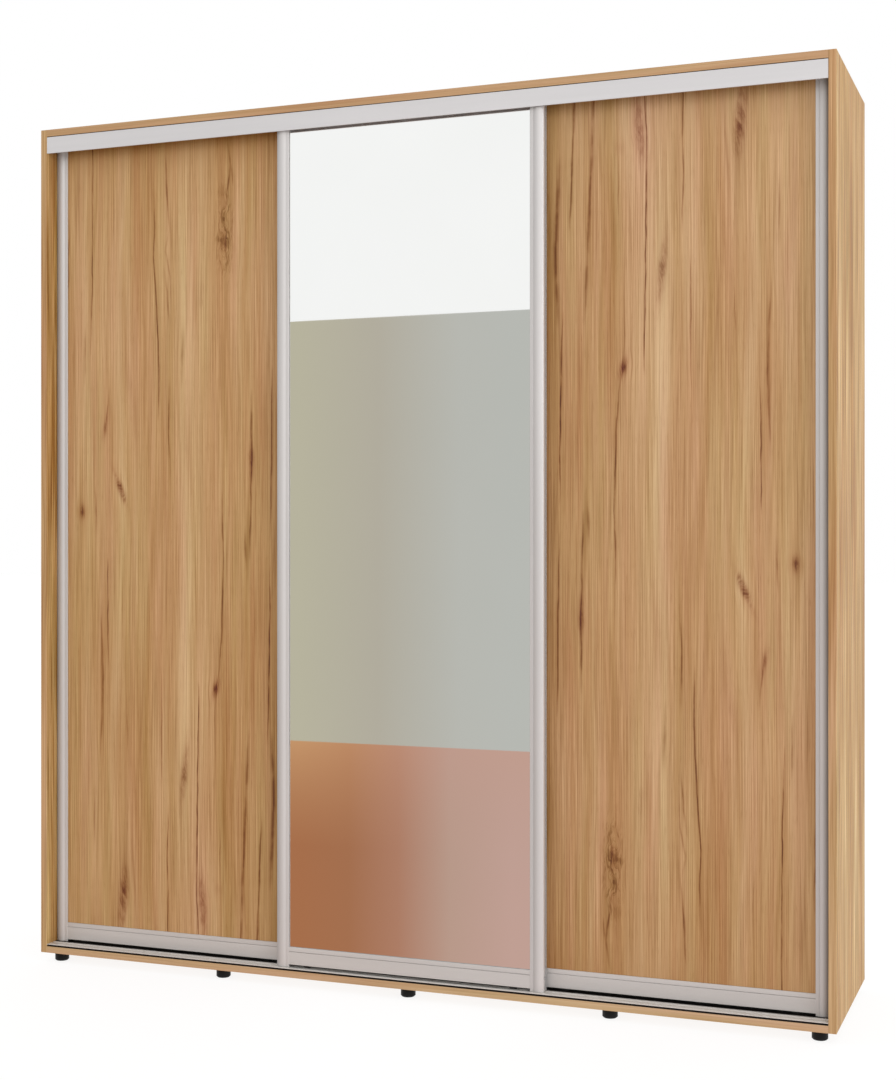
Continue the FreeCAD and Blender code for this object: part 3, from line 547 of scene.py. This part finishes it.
def hardboard():
    g = Graph("hardboard")
    x, y, z = g.split(g.coord)
    p = [g.mul(c, 1.0) for c in (x, y, z)]
    fibre = g.noise(g.vec(g.mul(x, 420.0), g.mul(y, 420.0), g.mul(z, 380.0)), detail=4.0, rough=0.7)
    blot = g.noise(g.vec(*[g.mul(c, 9.0) for c in p]), detail=3.0)
    base = g.mix(g.remap(blot, 0.3, 0.7), (*srgb(150, 112, 78), 1.0), (*srgb(166, 127, 90), 1.0))
    base = g.mix(g.mul(g.remap(fibre, 0.5, 0.7), 0.45), base, (*srgb(116, 82, 54), 1.0))
    g.set(Base_Color=base, Roughness=g.remap(fibre, 0.3, 0.7, 0.62, 0.8), Normal=g.bump(fibre, 0.35, 0.0004))
    return g.mat


def pile():
    g = Graph("brush_pile")
    x, y, z = g.split(g.coord)
    hair = g.noise(g.vec(g.mul(x, 900.0), g.mul(y, 900.0), g.mul(z, 5200.0)), detail=2.0)
    g.set(
        Base_Color=g.mix(g.remap(hair, 0.3, 0.7), (*srgb(96, 96, 98), 1.0), (*srgb(150, 150, 152), 1.0)),
        Roughness=g.remap(hair, 0.3, 0.7, 0.8, 0.95),
        Normal=g.bump(hair, 0.6, 0.0005),
    )
    g.bsdf.inputs["Sheen Weight"].default_value = 0.4
    return g.mat


MIRROR = mirror_glass()
BLACK = plastic("black_plastic", srgb(5, 5, 5), 0.5, vary=0.25)
BLACK_BSDF = next(n for n in BLACK.node_tree.nodes if n.type == "BSDF_PRINCIPLED")
BLACK_BSDF.inputs["Specular IOR Level"].default_value = 0.22
NYLON = plastic("white_nylon", srgb(226, 226, 220), 0.45, vary=0.03)
WHEEL = plastic("dark_nylon", srgb(44, 43, 42), 0.5, vary=0.12)
GASKET = plastic("grey_gasket", srgb(150, 150, 150), 0.5, vary=0.08)
BOARD = hardboard()
PILE = pile()


def material_for(n):
    if n in ("side_panel_left", "side_panel_right", "partition_left", "partition_right"):
        return OAK_UP
    if n == "top_panel":
        return OAK_TOP
    if n == "base_panel":
        return OAK_BASE
    if n.startswith("shelf_") and n != "shelf_pins":
        return OAK_FLAT
    if n.startswith("back_panel"):
        return BOARD
    if n == "door_left_panel":
        return OAK_LEFT
    if n == "door_right_panel":
        return OAK_RIGHT
    if n == "door_centre_panel":
        return MIRROR
    if n == "door_right_stile_right":
        return ALU_END_SHADED
    if "_stile_" in n:
        return ALU_UP
    if n == "bottom_track":
        return ALU_LOW
    if n == "top_track":
        return ALU_TOP
    if n == "door_centre_rail_bottom":
        return RAIL_FRONT
    if "_rail_bottom" in n:
        return RAIL_REAR
    if "_rail_top" in n:
        return ALU_FLAT
    if n.startswith("hanging_rail") or n == "rail_sockets":
        return CHROME
    if n == "feet":
        return BLACK
    if n.endswith("brush_seals"):
        return PILE
    if n.endswith("gasket"):
        return GASKET
    if "_wheel_" in n:
        return WHEEL
    if n.endswith("guides"):
        return NYLON
    return ZINC


for n, o in NODES.items():
    o.data.materials.clear()
    o.data.materials.append(material_for(n))


# ---------------------------------------------------------------------------
# Stage: pale floor, soft light, camera
# ---------------------------------------------------------------------------
def stage_plane(name, corners, mat):
    mesh = bpy.data.meshes.new(name)
    mesh.from_pydata(corners, [], [(0, 1, 2, 3)])
    mesh.materials.append(mat)
    o = bpy.data.objects.new(name, mesh)
    bpy.context.scene.collection.objects.link(o)
    return o


def plain(name, colour, rough):
    g = Graph(name)
    p = g.split(g.coord)
    cloud = g.noise(g.vec(*[g.mul(c, 0.6) for c in p]), detail=2.0)
    g.set(
        Base_Color=g.mix(cloud, tuple(c * 0.985 for c in colour) + (1.0,), (*colour, 1.0)),
        Roughness=rough,
    )
    g.bsdf.inputs["Specular IOR Level"].default_value = 0.1
    return g.mat


def reflection_glow(name, tones, near=None):
    """A card that glows, seen only in glossy reflections, whose tone changes softly across it: a painted
    reflection of the room in front of the wardrobe.  tones are (slope, colour), slope being that of the line
    from EYE.  near gives the tones close to the wardrobe."""
    g = Graph(name)
    x, y, z = g.split(g.coord)
    slope = g.m("DIVIDE", g.sub(x, EYE[0]), g.mad(y, -1.0, EYE[1]))
    lo, hi = tones[0][0], tones[-1][0]
    across = g.remap(slope, lo, hi)
    tone = g.ramp(across, [((s - lo) / (hi - lo), c) for s, c in tones])
    if near:
        close = g.ramp(across, [((s - lo) / (hi - lo), c) for s, c in near])
        tone = g.mix(g.remap(y, -4.9, -2.0), tone, close)
    g.set(Base_Color=(0.0, 0.0, 0.0), Roughness=1.0, Emission_Color=tone)
    g.bsdf.inputs["Specular IOR Level"].default_value = 0.0
    g.bsdf.inputs["Emission Strength"].default_value = 1.0
    return g.mat


S = 40.0
EYE = (1.5748, 3.5866)      # the mirrored camera, in plan
PALE = plain("pale_floor", (0.14, 0.14, 0.14), 0.9)
PALE_BSDF = next(n for n in PALE.node_tree.nodes if n.type == "BSDF_PRINCIPLED")
PALE_BSDF.inputs["Emission Color"].default_value = (1.0, 1.0, 1.0, 1.0)
PALE_BSDF.inputs["Emission Strength"].default_value = 0.87
floor = stage_plane("stage_floor", [(-S, -S, 0), (S, -S, 0), (S, S, 0), (-S, S, 0)], PALE)
# glowing cards hidden from the camera and from diffuse light: a painted reflection of what the mirror and the
# metal see in front of the wardrobe
card = stage_plane(
    "stage_card",
    [(-9, -4.9, 0), (9, -4.9, 0), (9, -4.9, 2.36), (-9, -4.9, 2.36)],
    reflection_glow("grey_reflection_card", [(-0.487, srgb(192, 187, 166)), (-0.431, srgb(186, 180, 166)), (-0.374, srgb(192, 192, 186)), (-0.339, srgb(192, 193, 188))]),
)
mat = stage_plane(
    "stage_floor_reflection",
    [(-9, -4.9, 0.002), (9, -4.9, 0.002), (9, -0.27, 0.002), (-9, -0.27, 0.002)],
    reflection_glow(
        "brown_reflection_card",
        [(-0.487, srgb(204, 154, 111)), (-0.452, srgb(198, 145, 107)), (-0.417, srgb(196, 146, 122)), (-0.381, srgb(200, 162, 148)), (-0.339, srgb(202, 164, 150))],
        [(-0.487, srgb(174, 116, 80)), (-0.452, srgb(172, 117, 84)), (-0.417, srgb(181, 131, 107)), (-0.381, srgb(193, 160, 145)), (-0.339, srgb(201, 166, 155))],
    ),
)
for o in (card, mat):
    o.visible_diffuse = False
    o.visible_shadow = False
    o.visible_camera = False
    o.visible_transmission = False
    o.visible_volume_scatter = False

world = bpy.data.worlds.new("studio")
world.use_nodes = True
bg = world.node_tree.nodes["Background"]
bg.inputs[0].default_value = (1.0, 1.0, 1.0, 1.0)
bg.inputs[1].default_value = 1.0
bpy.context.scene.world = world


def area(name, at, aim, size, power, colour=(1, 1, 1)):
    light = bpy.data.lights.new(name, "AREA")
    light.shape = "RECTANGLE"
    light.size, light.size_y = size
    light.energy = power
    light.color = colour
    o = bpy.data.objects.new(name, light)
    o.location = at
    o.rotation_mode = "QUATERNION"
    o.rotation_quaternion = (Vector(aim) - Vector(at)).to_track_quat("-Z", "Y")
    bpy.context.scene.collection.objects.link(o)
    return o


area("key", (1.2, -5.6, 3.0), (0.1, 0, 1.2), (4.0, 2.5), 24, (1.0, 0.985, 0.96))
area("side", (5.5, -3.5, 2.4), (0.3, 0, 1.1), (2.6, 2.6), 80, (1.0, 0.99, 0.97))

cam_data = bpy.data.cameras.new("camera")
cam_data.sensor_width = 36.0
cam_data.lens = 1673.42 / 1080.0 * 36.0
cam_data.clip_start = 0.05
cam_data.clip_end = 200.0
cam = bpy.data.objects.new("camera", cam_data)
cam.location = (1.57482, -4.05857, 1.13087)
cam.rotation_euler = (math.radians(90.0), 0.0, math.radians(20.9227))
bpy.context.scene.collection.objects.link(cam)
bpy.context.scene.camera = cam

bpy.context.scene.view_settings.view_transform = "Standard"
bpy.context.scene.view_settings.look = "None"
